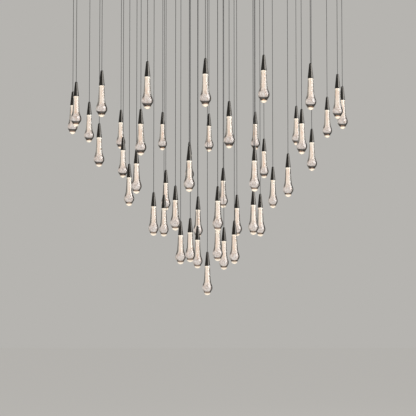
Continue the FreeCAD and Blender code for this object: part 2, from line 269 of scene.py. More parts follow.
def rounded_block(low: Iterable[float], high: Iterable[float], radius: float, steps: int = 3) -> Patch:
    """Block with rounded edges: rounded rectangles across X, drawn in by a quarter circle towards both ends.

    Args:
        low: Lowest corner.
        high: Highest corner.
        radius: Edge radius.
        steps: Number of points less one in a quarter circle.

    Returns:
        The closed block.
    """
    low, high = np.asarray(low, float), np.asarray(high, float)
    middle, half = (low + high) / 2.0, (high - low) / 2.0
    angles = np.concatenate([np.linspace(i, i + 1, steps + 1) for i in range(4)]) * math.pi / 2.0
    corner_y = np.repeat([1.0, -1.0, -1.0, 1.0], steps + 1)
    corner_z = np.repeat([1.0, 1.0, -1.0, -1.0], steps + 1)
    # The end face is a small rectangle, a tenth of the way round the edge.
    rise = np.linspace(0.1, 1.0, steps + 1) * math.pi / 2.0
    reach = radius * np.sin(rise)
    end = half[0] - radius + radius * np.cos(rise)
    x = np.concatenate([end, -end[::-1]])
    r = np.concatenate([reach, reach[::-1]])
    y = corner_y * (half[1] - radius) + r[:, None] * np.cos(angles)
    z = corner_z * (half[2] - radius) + r[:, None] * np.sin(angles)
    rows = np.stack([np.repeat(x[:, None], len(angles), axis=1), y, z], axis=-1)
    return capped(rows, np.array([[x[0], 0.0, 0.0], [x[-1], 0.0, 0.0]])).moved(middle)


def blocks(rows: Iterable[tuple[Any, ...]]) -> Patch:
    """Several rounded blocks as one surface, each from what rounded_block takes."""
    return joined([rounded_block(*row) for row in rows])


def rgba(value: str | float) -> tuple[float, float, float, float]:
    """Linear colour with an alpha of 1: v / 12.92 up to 0.04045, and above it (v + 0.055) / 1.055 to the 2.4.

    Args:
        value: An sRGB hex value, such as #c0c0c0, or a number for the grey of that linear value.

    Returns:
        Red, green, blue and alpha.
    """
    if not isinstance(value, str):
        return (value, value, value, 1.0)
    values = np.array([int(value[i : i + 2], 16) for i in (1, 3, 5)]) / 255.0
    low, high = values / 12.92, ((values + 0.055) / 1.055) ** 2.4
    return (*np.where(values <= 0.04045, low, high).tolist(), 1.0)


def feed(node: bpy.types.Node, inputs: dict[Any, Any]) -> None:
    """Fills a node's inputs.

    Args:
        node: The node.
        inputs: Input name or number to a value, a colour's hex value, or the output socket that feeds it.
    """
    for key, value in inputs.items():
        if isinstance(value, Socket):
            node.id_data.links.new(value, node.inputs[key])
        else:
            node.inputs[key].default_value = rgba(value) if isinstance(value, str) else value


def add_node(
    tree: Tree,
    kind: str,
    inputs: dict[Any, Any] | None = None,
    out: str | int = 0,
    stops: Iterable[tuple[float, str | float]] = (),
    **settings: Any,
) -> Socket:
    """Adds a shader node with its settings, values and links.

    Args:
        tree: The node tree.
        kind: The node's type, without the prefix of all shader nodes.
        inputs: What its inputs get.
        out: Name or number of the output that is wanted.
        stops: A colour ramp's places, each with its colour.
        settings: Properties of the node.

    Returns:
        The output's socket.
    """
    node = tree.nodes.new(f"ShaderNode{kind}")
    for name, value in settings.items():
        setattr(node, name, value)
    for i, (place, colour) in enumerate(stops):
        # A new ramp has two stops.
        element = node.color_ramp.elements[i] if i < 2 else node.color_ramp.elements.new(place)
        element.position, element.color = place, rgba(colour)
    feed(node, inputs or {})
    return node.outputs[out]


def node_of(tree: Tree, kind: str) -> bpy.types.Node:
    """The first node of a type in a tree."""
    return next(node for node in tree.nodes if node.type == kind)


@dataclass(frozen=True)
class Look:
    """What every finish has: a name, and what it puts on the principled shader."""

    name: str

    def dress(self, add: Adder, place: Socket) -> Dress:
        """What the shader's inputs get.

        Args:
            add: The function that adds a node to the material.
            place: The Object coordinates.

        Returns:
            Input name to a value, a colour's hex value, or the output socket that feeds it.
        """
        raise NotImplementedError

    def material(self) -> bpy.types.Material:
        """Makes the material.

        Returns:
            The material, with its principled shader dressed.
        """
        material = bpy.data.materials.new(self.name)
        material.use_nodes = True
        add = partial(add_node, material.node_tree)
        dress = self.dress(add, add("TexCoord", out="Object"))
        feed(node_of(material.node_tree, "BSDF_PRINCIPLED"), dress)
        return material


@dataclass(frozen=True)
class PlatedMetal(Look):
    """Plated or polished metal whose gloss varies with faint turning or rolling lines."""

    colour: str
    shade: str
    roughness: Pair
    line_pitch: float
    line_depth: float = 0.02 * MM
    cloud_size: float = 22.0 * MM
    edge_radius: float = 0.0

    def dress(self, add: Adder, place: Socket) -> Dress:
        """Metal with soft cloudy colour, roughness that drifts, and level lines at their pitch.

        Args:
            add: Adds a node to the material.
            place: The Object coordinates.

        Returns:
            What the shader's inputs get.
        """
        cloud = add("TexNoise", {"Vector": place, "Scale": 1.0 / self.cloud_size, "Detail": 3.0}, "Fac")
        smooth, rough = self.roughness
        line_inputs = {"Vector": place, "Scale": WAVE_PERIOD / self.line_pitch, "Distortion": 1.5}
        line_inputs.update({"Detail": 2.0, "Detail Scale": 3.0})
        lines = add("TexWave", line_inputs, "Fac", wave_type="BANDS", bands_direction="Z")
        relief = {"Height": lines, "Distance": self.line_depth, "Strength": 0.25}
        if self.edge_radius:
            relief["Normal"] = add("Bevel", {"Radius": self.edge_radius}, samples=4)
        return {
            "Base Color": add("ValToRGB", {0: cloud}, stops=[(0.3, self.shade), (0.7, self.colour)]),
            "Roughness": add("ValToRGB", {0: cloud}, stops=[(0.35, rough), (0.65, smooth)]),
            "Metallic": 1.0,
            "Normal": add("Bump", relief),
        }


@dataclass(frozen=True)
class ZincSheet(Look):
    """Hot-dip zinc on steel bar, which shows as flat crystals of slightly different greys."""

    colours: tuple[str, str]
    spangle: float
    edge_radius: float = 0.8 * MM

    def dress(self, add: Adder, place: Socket) -> Dress:
        """Metal with a cell of its own grey for each zinc crystal.

        Args:
            add: Adds a node to the material.
            place: The Object coordinates.

        Returns:
            What the shader's inputs get.
        """
        cells = add("TexVoronoi", {"Vector": place, "Scale": 1.0 / self.spangle}, "Color")
        tone = add("SeparateColor", {"Color": cells}, "Red")
        return {
            "Base Color": add("ValToRGB", {0: tone}, stops=[(0.0, self.colours[0]), (1.0, self.colours[1])]),
            "Roughness": add("ValToRGB", {0: tone}, stops=[(0.0, 0.34), (1.0, 0.52)]),
            "Metallic": 1.0,
            "Normal": add("Bevel", {"Radius": self.edge_radius}, samples=4),
        }


@dataclass(frozen=True)
class MouldedPlastic(Look):
    """Moulded plastic with a fine spark-eroded grain."""

    colour: str
    shade: str
    roughness: float
    grain: float
    depth: float = 0.02 * MM
    cloud_scale: float = 30.0

    def dress(self, add: Adder, place: Socket) -> Dress:
        """Plastic whose colour drifts a little and whose grain is a fine bump.

        Args:
            add: Adds a node to the material.
            place: The Object coordinates.

        Returns:
            What the shader's inputs get.
        """
        cloud = add("TexNoise", {"Vector": place, "Scale": self.cloud_scale, "Detail": 3.0}, "Fac")
        grain = add("TexNoise", {"Vector": place, "Scale": 1.0 / self.grain, "Detail": 2.0}, "Fac")
        return {
            "Base Color": add("ValToRGB", {0: cloud}, stops=[(0.3, self.shade), (0.7, self.colour)]),
            "Roughness": self.roughness,
            "IOR": 1.49,
            "Normal": add("Bump", {"Height": grain, "Distance": self.depth, "Strength": 0.5}),
        }


@dataclass(frozen=True)
class BraidedSleeve(Look):
    """Woven sleeve or cord jacket, whose threads cross at a slant."""

    colour: str
    shade: str
    pitch: float
    roughness: float
    slant: float = 0.7

    def dress(self, add: Adder, place: Socket) -> Dress:
        """Two sets of slanting bands, whose product is the braid's height; painted shade darkens its gaps.

        Args:
            add: Adds a node to the material.
            place: The Object coordinates.

        Returns:
            What the shader's inputs get.
        """
        heights = []
        for turn in (self.slant, -self.slant):
            slanted = add("Mapping", {"Vector": place, "Rotation": (turn, turn, turn)})
            heights.append(add("TexWave", {"Vector": slanted, "Scale": WAVE_PERIOD / self.pitch}, "Fac"))
        braid = add("Math", {0: heights[0], 1: heights[1]}, operation="MULTIPLY")
        return {
            "Base Color": add("ValToRGB", {0: braid}, stops=[(0.0, self.shade), (0.5, self.colour)]),
            "Roughness": self.roughness,
            "Normal": add("Bump", {"Height": braid, "Distance": 0.2 * self.pitch, "Strength": 0.6}),
        }


@dataclass(frozen=True)
class SeededCrystal(Look):
    """Solid lead-free crystal, fire-polished: clear, with painted shade at its outline, just under the cap's
    rim and in a band above its tip, and a painted glow at its tip and near its top.

    Its places are shares of the way from the cap's rim, 0, to the tip, 1.
    """

    # Where the painted dark band starts and where the painted glow at the tip starts, how far the band bows,
    # how dark the painted shade at the outline is in the throat, and the band's colour.
    band_start: float
    spot_start: float
    band_bow: float
    throat_edge_shade: float
    shade: str
    clear: str = "#fbf9f6"
    # Painted shade at the outline.
    edge: str = "#161412"
    # The painted warm rim above the tip, the glass at the tip, and the colour of the painted glow.
    rim: str = "#8a6247"
    spot_glass: str = "#bdb2a2"
    spot: str = "#fff3de"
    # Painted shadow just under the cap's rim: where it ends, how far it fades, and its colour.
    cap_shadow_end: float = 0.024
    cap_fade: float = 0.008
    cap_shadow: str = "#2b2a27"
    # Where the painted glow just below the cap rises and fades.
    top_glow: Pair = (0.034, 0.07)
    soft_edge: float = 0.02
    rim_width: float = 0.05
    wave_size: float = 26.0 * MM
    wave_depth: float = 0.5 * MM

    def dress(self, add: Adder, place: Socket) -> Dress:
        """Clear glass with painted shade towards its outline and just above its tip, and a painted glow at
        its tip and near its top.

        Args:
            add: Adds a node to the material.
            place: The Object coordinates.

        Returns:
            What the shader's inputs get.
        """
        level = add("Attribute", out="Fac", attribute_name=LEVEL)
        share = add("Math", {0: level, 1: GLASS_LENGTH}, operation="DIVIDE")
        waves = add("TexNoise", {"Vector": place, "Scale": 1.0 / self.wave_size, "Detail": 1.0}, "Fac")
        facing = add("LayerWeight", {"Blend": 0.5}, "Facing")
        # Painted shade: how dark the outline is at each level, with a painted lit side that takes some of it
        # away on the left side of the bulb.
        throat = self.throat_edge_shade
        stops = [(0.02, 0.35 * throat), (0.12, throat), (0.5, throat), (0.65, 1.0), (0.9, 1.0), (0.94, 0.2)]
        below_throat = add("ValToRGB", {0: share}, stops=stops)
        across = add("SeparateXYZ", {0: add("NewGeometry", out="Normal")}, "X")
        turned_left = add("Math", {0: across, 1: -1.0}, operation="MULTIPLY")
        painted_lit_side = add("ValToRGB", {0: turned_left}, stops=[(0.1, 0.0), (0.75, 1.0)])
        in_bulb = add("ValToRGB", {0: share}, stops=[(0.65, 0.0), (0.75, 0.9), (0.88, 0.3)])
        lightened = add("Math", {0: painted_lit_side, 1: in_bulb}, operation="MULTIPLY")
        kept = add("Math", {0: 1.0, 1: lightened}, operation="SUBTRACT")
        painted_edge_shade = add("Math", {0: below_throat, 1: kept}, operation="MULTIPLY")
        # Painted shade at the outline, from the Layer Weight's facing.
        outline = add("ValToRGB", {0: facing}, stops=[(0.23, self.clear), (0.36, self.edge)])
        darkened = add("Mix", {0: painted_edge_shade, 6: self.clear, 7: outline}, 2, data_type="RGBA")
        # Painted shade: a dark band above the tip's painted glow, with a painted warm rim between them, and
        # the glass at the tip under the glow. The band bows down in the middle, the rim doesn't.
        stops = [
            (0.0, self.clear),
            (self.band_start - self.soft_edge, self.clear),
            (self.band_start, self.shade),
            (self.spot_start - self.rim_width, self.shade),
            (self.spot_start - self.soft_edge, self.rim),
            (self.spot_start, self.spot_glass),
        ]
        bowed = add("Math", {0: facing, 1: self.band_bow, 2: share}, operation="MULTIPLY_ADD")
        above_spot = add("Math", {0: bowed, 1: self.spot_start - 0.5 * self.soft_edge}, operation="MINIMUM")
        bowed_share = add("Math", {0: above_spot, 1: share}, operation="MAXIMUM")
        tint = add("ValToRGB", {0: bowed_share}, stops=stops)
        colour = add("Mix", {0: 1.0, 6: darkened, 7: tint}, **MULTIPLIED)
        # Painted shadow: the first glass below the cap's rim is darkened, as the cap shades it.
        stops = [(self.cap_shadow_end - self.cap_fade, self.cap_shadow), (self.cap_shadow_end, self.clear)]
        shadow_under_cap = add("ValToRGB", {0: share}, stops=stops)
        # Painted glow: weak just below the cap, stronger at the tip, and less towards the outline.
        stops = [
            (self.cap_shadow_end, 0.0),
            (self.top_glow[0], 0.3),
            (self.top_glow[1], 0.0),
            (self.spot_start - self.soft_edge, 0.0),
            (self.spot_start, 0.6),
            (1.0, 0.75),
        ]
        glow = add("ValToRGB", {0: share}, stops=stops)
        fading = add("ValToRGB", {0: facing}, stops=[(0.45, 1.0), (0.9, 0.45)])
        return {
            "Base Color": add("Mix", {0: 1.0, 6: colour, 7: shadow_under_cap}, **MULTIPLIED),
            "Normal": add("Bump", {"Height": waves, "Distance": self.wave_depth, "Strength": 0.6}),
            "Emission Strength": add("Math", {0: glow, 1: fading}, operation="MULTIPLY"),
            "Emission Color": self.spot,
            "Transmission Weight": 1.0,
            "Roughness": 0.02,
            "IOR": 1.5,
            "Specular IOR Level": 0.15,
        }


@dataclass(frozen=True)
class LitSeeds(Look):
    """Cloud of fine gas seeds in the core of the glass, with a painted glow for the lamp's light that it
    scatters.
    """

    top: str = "#fff6e6"
    column: str = "#fbecdf"
    streak: str = "#ecd0bc"
    bulb: str = "#f5f2f2"
    mottle: str = "#c6bebc"
    body: str = "#2c2927"
    seed_size: float = 3.0 * MM
    streak_scale: float = 160.0
    mottle_scale: float = 150.0

    def dress(self, add: Adder, place: Socket) -> Dress:
        """Specks with a painted glow and clear gaps between them, from a noise at the seeds' size.

        Args:
            add: Adds a node to the material.
            place: The Object coordinates.

        Returns:
            What the shader's inputs get.
        """
        level = add("Attribute", out="Fac", attribute_name=LEVEL)
        share = add("Math", {0: level, 1: GLASS_LENGTH}, operation="DIVIDE")
        # Painted glow: brightest just below the cap, then the column's tone, then the bulb's.
        stops = [(0.0, self.top), (0.2, self.column), (0.55, self.column), (0.78, self.bulb)]
        tone = add("ValToRGB", {0: share}, stops=stops)
        drawn_out = add("Mapping", {"Vector": place, "Scale": (1.0, 1.0, 0.12)})
        streaks = add("TexNoise", {"Vector": drawn_out, "Scale": self.streak_scale, "Detail": 2.0}, "Fac")
        streaked = add("ValToRGB", {0: streaks}, stops=[(0.5, 0.0), (0.68, 0.8)])
        colour = add("Mix", {0: streaked, 6: tone, 7: self.streak}, **MULTIPLIED)
        spots = add("TexNoise", {"Vector": place, "Scale": self.mottle_scale, "Detail": 3.0}, "Fac")
        mottles = add("ValToRGB", {0: spots}, stops=[(0.38, self.mottle), (0.58, "#ffffff")])
        in_bulb = add("ValToRGB", {0: share}, stops=[(0.5, 0.0), (0.66, 1.0)])
        squeezed = add("Mapping", {"Vector": place, "Scale": (1.0, 1.0, 0.45)})
        specks = add("TexNoise", {"Vector": squeezed, "Scale": 1.0 / self.seed_size, "Detail": 3.0}, "Fac")
        cover = add("ValToRGB", {0: specks}, stops=[(0.36, 0.45), (0.52, 1.0)])
        fade = add("ValToRGB", {0: share}, stops=[(0.0, 1.0), (0.6, 0.95), (0.8, 0.6)])
        return {
            "Base Color": self.body,
            "Emission Color": add("Mix", {0: in_bulb, 6: colour, 7: mottles}, **MULTIPLIED),
            "Emission Strength": 0.95,
            "Roughness": 0.6,
            "Alpha": add("Math", {0: cover, 1: fade}, operation="MULTIPLY"),
        }


@dataclass(frozen=True)
class LitBubble(Look):
    """Larger gas bubbles, with a painted glow in the middle and a painted dark rim."""

    painted_heart_glow: str = "#fbefe6"
    rim: str = "#75675f"
    body: str = "#2c2927"

    def dress(self, add: Adder, place: Socket) -> Dress:
        """Painted glow in the middle and painted shade at the rim, as a bubble in glass shows.

        Args:
            add: Adds a node to the material.
            place: The Object coordinates, not used here.

        Returns:
            What the shader's inputs get.
        """
        facing = add("LayerWeight", {"Blend": 0.4}, "Facing")
        # Painted glow in the middle, painted shade at the rim.
        glow = add("ValToRGB", {0: facing}, stops=[(0.35, self.painted_heart_glow), (0.85, self.rim)])
        return {"Base Color": self.body, "Emission Color": glow, "Emission Strength": 0.7, "Roughness": 0.1}


@dataclass(frozen=True)
class Phosphor(Look):
    """Warm white phosphor over the light source."""

    colour: str = "#ffe9c8"
    shade: str = "#f6d9ae"
    grain_scale: float = 900.0

    def dress(self, add: Adder, place: Socket) -> Dress:
        """Glowing surface with a faint grain.

        Args:
            add: Adds a node to the material.
            place: The Object coordinates.

        Returns:
            What the shader's inputs get.
        """
        grain = add("TexNoise", {"Vector": place, "Scale": self.grain_scale}, "Fac")
        colour = add("ValToRGB", {0: grain}, stops=[(0.3, self.shade), (0.7, self.colour)])
        return {"Base Color": colour, "Emission Color": colour, "Emission Strength": 2.0}


class Finish(Enum):
    """Finishes of the chandelier, each named for the real material."""

    # Black nickel plate on a turned cap: almost black, with clean reflections.
    BLACK_NICKEL = PlatedMetal("polished_black_nickel", "#44423f", "#3f3d3a", (0.1, 0.16), 1.2 * MM)
    # The same plate over brushed sheet: softer and a little lighter.
    SATIN_NICKEL = PlatedMetal(
        "satin_black_nickel_sheet", "#4a4744", "#423f3c", (0.3, 0.38), 2.0 * MM, cloud_size=220.0 * MM
    )
    # Bright zinc plate on small steel parts, whose edges are a little worn.
    PLATED_STEEL = PlatedMetal(
        "plated_steel", "#b9b9b6", "#9d9d9a", (0.25, 0.38), 1.0 * MM, edge_radius=0.4 * MM
    )
    # Flat zinc crystals about 9 mm wide.
    ZINC = ZincSheet("galvanised_steel_bar", ("#8f9396", "#b7bbbd"), 9.0 * MM)
    # Woven polyester jacket over the cord: black with a low sheen.
    CORD = BraidedSleeve("black_cord_jacket", "#1b1a19", "#100f0f", 1.4 * MM, 0.6)
    # Coarser braid over the leads in the canopy: dull grey.
    SLEEVE = BraidedSleeve("braided_polyester_sleeve", "#55565a", "#2f3033", 2.2 * MM, 0.65)
    # White plastic with a fine grain: an even soft gloss.
    DRIVER_CASE = MouldedPlastic("moulded_polycarbonate_case", "#e4e3de", "#d8d7d1", 0.45, 0.9 * MM)
    # Nylon, a little yellow and duller.
    TERMINAL = MouldedPlastic("moulded_polyamide", "#d3cfc2", "#c5c0b2", 0.5, 0.7 * MM)
    # Clear and heavy, with painted shade and a painted glow. The higher drops get a darker painted band, for
    # the dark canopy seen through the underside of the bulb.
    CRYSTAL = SeededCrystal("fire_polished_crystal", 0.89, 0.94, 0.02, 0.95, "#75675c")
    HIGH_CRYSTAL_DARKER_SHADE = SeededCrystal("fire_polished_crystal_high", 0.86, 0.952, 0.05, 0.6, "#2a2826")
    # Gas seeds too fine to tell apart: drawn as specks of 3 mm, which is as fine as the picture shows.
    SEEDS = LitSeeds("fine_gas_seeds")
    # Single bubbles, each with a painted bright heart and a painted dark rim.
    BUBBLES = LitBubble("gas_bubbles")
    # The lit face of the light source.
    PHOSPHOR = Phosphor("warm_phosphor")


@cache
def material_of(finish: Finish) -> bpy.types.Material:
    """Material of a finish, made once."""
    return finish.value.material()


@dataclass
class Piece:
    """What a new piece needs. An edge stays sharp above its angle in degrees."""

    name: str
    finish: Finish
    slot: str
    replaces: tuple[str, ...] = ()
    body: str = "root"
    sharp_angle: float = 38.0


def linked(name: str, data: bpy.types.ID) -> bpy.types.Object:
    """New object in the scene.

    Args:
        name: The object's name.
        data: Its mesh, lamp or camera.

    Returns:
        The object.
    """
    made = bpy.data.objects.new(name, data)
    bpy.context.scene.collection.objects.link(made)
    return made


def make_piece(piece: Piece, patch: Patch) -> bpy.types.Object:
    """Makes a piece at the origin, dresses it and lets it ride on its body.

    Args:
        piece: What the piece is.
        patch: Its surface.

    Returns:
        The object.
    """
    mesh = bpy.data.meshes.new(piece.name)
    mesh.from_pydata(patch.points.tolist(), [], patch.quads.tolist() + patch.triangles.tolist())
    mesh.polygons.foreach_set("use_smooth", np.ones(len(mesh.polygons), bool))
    mesh.set_sharp_from_angle(angle=math.radians(piece.sharp_angle))
    if patch.levels is not None:
        levels = mesh.attributes.new(LEVEL, "FLOAT", "POINT")
        levels.data.foreach_set("value", patch.levels.astype(np.float32))
    mesh.update()
    mesh.materials.append(material_of(piece.finish))
    made = linked(piece.name, mesh)
    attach(made, piece.body)
    if piece.replaces:
        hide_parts(*piece.replaces)
    LOG.info("%s: %d points, on %s", piece.name, len(patch.points), piece.body)
    return made


def mesh_points(mesh: bpy.types.Mesh) -> np.ndarray:
    """Points of a mesh.

    Args:
        mesh: The mesh.

    Returns:
        One (x, y, z) for each vertex.
    """
    flat = np.zeros(3 * len(mesh.vertices), np.float32)
    mesh.vertices.foreach_get("co", flat)
    return flat.reshape(-1, 3).astype(float)


def node_seats(node: str, reach: float = 40.0 * MM) -> np.ndarray:
    """Top middle of each separate solid of a node of upright pieces that stand apart.

    Args:
        node: The node's name.
        reach: More than a piece's width, and less than the space between two pieces.

    Returns:
        One (x, y, z) for each solid, in the order of their directions round the Z axis from the front.
    """
    points = mesh_points(bpy.data.objects[node].data)
    seats = []
    while len(points):
        near = np.linalg.norm(points[:, :2] - points[0, :2], axis=1) < reach
        low, high = points[near].min(axis=0), points[near].max(axis=0)
        seats.append([(low[0] + high[0]) / 2.0, (low[1] + high[1]) / 2.0, high[2]])
        points = points[~near]
    return np.array(sorted(seats, key=lambda seat: round(math.atan2(seat[0], -seat[1]) % (2.0 * math.pi), 4)))


@dataclass
class Viewpoint:
    """The photograph's camera: just below the level of the lowest tip, with a long lens, aimed a bit up."""

    place: Point = (0.093, -7.088, -2.475)
    lens_mm: float = 94.92
    sensor_mm: float = 36.0
    pitch_deg: float = 3.30
    turn_deg: float = 0.72
    shift_up: float = 0.12
    clip_end: float = 200.0

    def build(self) -> None:
        """Adds the camera and makes it the scene's."""
        data = bpy.data.cameras.new("camera")
        data.lens = self.lens_mm
        data.sensor_width = self.sensor_mm
        data.shift_y = self.shift_up
        data.clip_end = self.clip_end
        camera = linked("camera", data)
        camera.location = self.place
        camera.rotation_euler = (math.radians(90.0 + self.pitch_deg), 0.0, math.radians(self.turn_deg))
        bpy.context.scene.camera = camera


@dataclass
class PendantGroup:
    """Drops that move together: one drop with nodes of its own, or a ring of drops that shares its nodes."""

    name: str
    ring: bool = False
    crystal: Finish = Finish.CRYSTAL

    def node(self, kind: str) -> str:
        """Name of the group's node or body of a kind, such as cap, which a ring has in the plural."""
        return f"{self.name}_{kind}s" if self.ring else f"{self.name}_{kind}"

    def cord_body(self) -> str:
        """Body that the cords ride on: a single drop's cord swings with it."""
        return "root" if self.ring else f"{self.name}_suspension"

    def seats(self) -> np.ndarray:
        """Cap-top point of each drop."""
        return node_seats(self.node("cap"))


def spline_points(route: list[Point], steps: int = 12) -> np.ndarray:
    """Points read from the NURBS spline that has the route's points as its control points.

    Args:
        route: The cord's route.
        steps: Number of steps in each span.

    Returns:
        Points along the spline.
    """
    curve = bpy.data.curves.new("route", "CURVE")
    curve.dimensions = "3D"
    curve.resolution_u = steps
    spline = curve.splines.new("NURBS")
    spline.points.add(len(route) - 1)
    for point, place in zip(spline.points, route):
        point.co = (*place, 1.0)
    spline.order_u = 3
    spline.use_endpoint_u = True
    holder = bpy.data.objects.new("route", curve)
    mesh = bpy.data.meshes.new_from_object(holder)
    points = mesh_points(mesh)
    bpy.data.meshes.remove(mesh)
    bpy.data.objects.remove(holder)
    bpy.data.curves.remove(curve)
    return points


@dataclass
class Suspension:
    """Taut cords, each from its grip straight down into the top of its cap."""

    diameter: float = 3.3 * MM
    sides: int = 14
    straight_end: float = 20.0 * MM
    travel: float = 0.3

    def build(self, groups: list[PendantGroup]) -> None:
        """Args:
            groups: The groups of drops.
        """
        runs = []
        for group in groups:
            top = float(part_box(group.node("cord"))[1][2])
            for i, (x, y, z) in enumerate(group.seats()):
                runs.append((top - z, group, i, (x, y, top), (x, y, z)))
        declared = {id(run) for run in sorted(runs, key=lambda run: -run[0])[:MAX_DECLARED_CORDS]}
        for run in runs:
            length, group, i, top, bottom = run
            name = f"{group.name}_cord_{i + 1:02d}_dressed"
            below_grip = (top[0], top[1], top[2] - self.straight_end)
            above_cap = (bottom[0], bottom[1], bottom[2] + self.straight_end)
            path = spline_points([top, below_grip, above_cap, bottom])
            patch = tube(path, self.diameter / 2.0, self.sides, up=(0.0, 1.0, 0.0))
            piece = Piece(name, Finish.CORD, "cord_jacket", (group.node("cord"),), group.cord_body())
            cord = make_piece(piece, patch)
            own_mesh(cord)
            id(run) in declared


def icosahedron() -> tuple[np.ndarray, np.ndarray]:
    """Solid of twenty triangles, with corners at (0, +-1, +-g) and its turns, where g is the golden ratio.

    Returns:
        Its 12 corners at a radius of 1, and its faces as three corner numbers each.
    """
    golden = (1.0 + math.sqrt(5.0)) / 2.0
    corners = [(s, t * golden, 0.0) for s in (-1, 1) for t in (-1, 1)]
    corners = np.array([np.roll(corner, turn) for turn in range(3) for corner in corners])
    corners /= np.linalg.norm(corners[0])
    gaps = np.linalg.norm(corners[:, None] - corners[None], axis=-1)
    beside = gaps < 1.01 * gaps[gaps > 1e-6].min()
    threes = itertools.combinations(range(12), 3)
    faces = [f for f in threes if beside[f[:2]] and beside[f[1:]] and beside[f[::2]]]
    return corners, np.array([f if np.linalg.det(corners[list(f)]) > 0 else f[::-1] for f in faces])


@dataclass
class Drop:
    """One drop of solid crystal with its neck, seeds and bubbles, and the cap over it."""

    cap_height: float = 88.5 * MM
    cap_radius: float = 17.3 * MM
    cap_wall: float = 1.2 * MM
    # How much wider the cone gets for its length.
    cone_slope: float = 9.3 / 83.0
    cap_edge: float = 0.5 * MM
    neck_length: float = 20.0 * MM
    neck_radii: Pair = (13.3 * MM, 15.3 * MM)
    neck_edge: float = 0.6 * MM
    led_height: float = 8.0 * MM
    sides: int = 48
    # How far a drop swells round the middle of its bulb, and leans.
    swell: float = 0.04
    bulb_level: float = 142.0 * MM
    bulb_spread: float = 30.0 * MM
    lean: float = 0.5 * MM
    # The cloud of seeds: a column that flares a little at its top, fills part of the bulb and ends in it.
    cloud_sides: int = 28
    cloud_rings: int = 38
    cloud_span: Pair = (4.8 * MM, 166.0 * MM)
    column_radius: float = 7.4 * MM
    column_flare: float = 0.6 * MM
    flare_length: float = 20.0 * MM
    opening_start: float = 106.0 * MM
    opening_length: float = 34.0 * MM
    bulb_fill: float = 0.63
    cloud_end: float = 166.5 * MM
    end_length: float = 22.0 * MM
    cloud_offset: float = 1.2 * MM
    cloud_wobble: float = 0.03
    # The waves that make it ragged: how often each goes round, and its radians per metre along it.
    cloud_waves: tuple[Pair, ...] = ((3, 90.0), (5, -140.0), (2, 210.0))
    # The separate bubbles: the nearest and the farthest from the cap, and the least and the greatest radius.
    bubbles: int = 60
    bubble_span: Pair = (6.0 * MM, 164.0 * MM)
    bubble_radii: Pair = (0.5 * MM, 1.1 * MM)
    bubble_growth: float = 0.8
    growth_start: float = 100.0 * MM
    growth_length: float = 50.0 * MM
    bubble_room: float = 0.80
    # The beta distribution's two shapes, which put more of them low down.
    bubble_shapes: Pair = (1.5, 0.9)
    bubble_stretch: Pair = (1.1, 1.8)

    def outline(self) -> np.ndarray:
        """Outline of the glass below the cap.

        A slender throat swells by a smooth curve into a bulb, whose underside draws in to a short blunt tip.

        Returns:
            Radius and distance below the cap's rim, from the shoulder to the tip.
        """
        points = [
            (16.9, 0.3), (17.1, 10.0), (17.7, 30.0), (18.9, 55.0), (20.6, 80.0),
            (22.5, 99.0), (25.2, 113.0), (29.4, 126.0), (32.4, 136.0), (33.4, 144.5),
            (32.4, 153.5), (29.0, 161.5), (24.8, 168.0), (21.6, 173.5), (20.0, 178.5),
            (18.4, 183.0), (15.0, 187.4), (9.0, 190.8), (1.6, 192.45),
        ]
        return smooth_line(points, 4) * MM

    def radius_at(self, below: np.ndarray) -> np.ndarray:
        """Radius of the glass at distances below the cap's rim."""
        line = self.outline()
        return np.interp(below, line[:, 1], line[:, 0])

    def glass(self, rng: np.random.Generator) -> Patch:
        """The glass, hand-finished: each drop leans and swells a little differently.

        Args:
            rng: Seeded random numbers.

        Returns:
            The drop below its cap's top at the origin. A point's level is its distance below the cap's rim.
        """
        body = self.outline()
        from_bulb = (body[:, 1] - self.bulb_level) / self.bulb_spread
        body[:, 0] *= 1.0 + self.swell * rng.uniform(-1, 1) * np.exp(-(from_bulb**2))
        top, base = self.neck_radii
        start = (top - self.neck_edge, -self.neck_length)
        neck = np.array([start, (top, self.neck_edge - self.neck_length), (base, 0.0)])
        profile = np.concatenate([neck, body])
        patch = revolve(np.stack([profile[:, 0], -self.cap_height - profile[:, 1]], axis=-1), self.sides)
        below = -self.cap_height - patch.points[:, 2]
        bow = np.sin(np.clip(below / GLASS_LENGTH, 0.0, 1.0) * math.pi)
        patch.points[:, :2] += rng.uniform(-self.lean / MM, self.lean / MM, 2) * MM * bow[:, None]
        patch.levels = np.clip(below, 1e-5, None)
        return patch

    def cloud(self, rng: np.random.Generator) -> Patch:
        """Cloud of fine seeds: an even ragged column down the core, which opens out in the bulb and closes.

        Its radius is the column's plus a cosine step up to a share of the bulb's, times a root that closes
        it. Three waves round it and along it make it ragged.

        Args:
            rng: Seeded random numbers.

        Returns:
            The cloud below its cap's top at the origin.
        """
        below = np.linspace(*self.cloud_span, self.cloud_rings)
        opened = np.clip((below - self.opening_start) / self.opening_length, 0.0, 1.0)
        opening = 0.5 - 0.5 * np.cos(math.pi * opened)
        ending = np.sqrt(np.clip((self.cloud_end - below) / self.end_length, 0.0, 1.0))
        column = self.column_radius + self.column_flare * np.exp(-below / self.flare_length)
        radius = (column + (self.bulb_fill * self.radius_at(below) - column) * opening) * ending
        patch = revolve(np.stack([radius, -self.cap_height - below], axis=-1), self.cloud_sides)
        angle = np.arctan2(patch.points[:, 1], patch.points[:, 0])
        depth = -self.cap_height - patch.points[:, 2]
        phases = rng.uniform(0.0, 2.0 * math.pi, 4)
        waves = sum(np.sin(n * angle + k * depth + phase) for (n, k), phase in zip(self.cloud_waves, phases))
        patch.points[:, :2] *= (1.0 + self.cloud_wobble * waves)[:, None]
        patch.points[:, 0] -= self.cloud_offset * (1.0 + np.interp(depth, below, opening))
        patch.levels = depth
        return patch

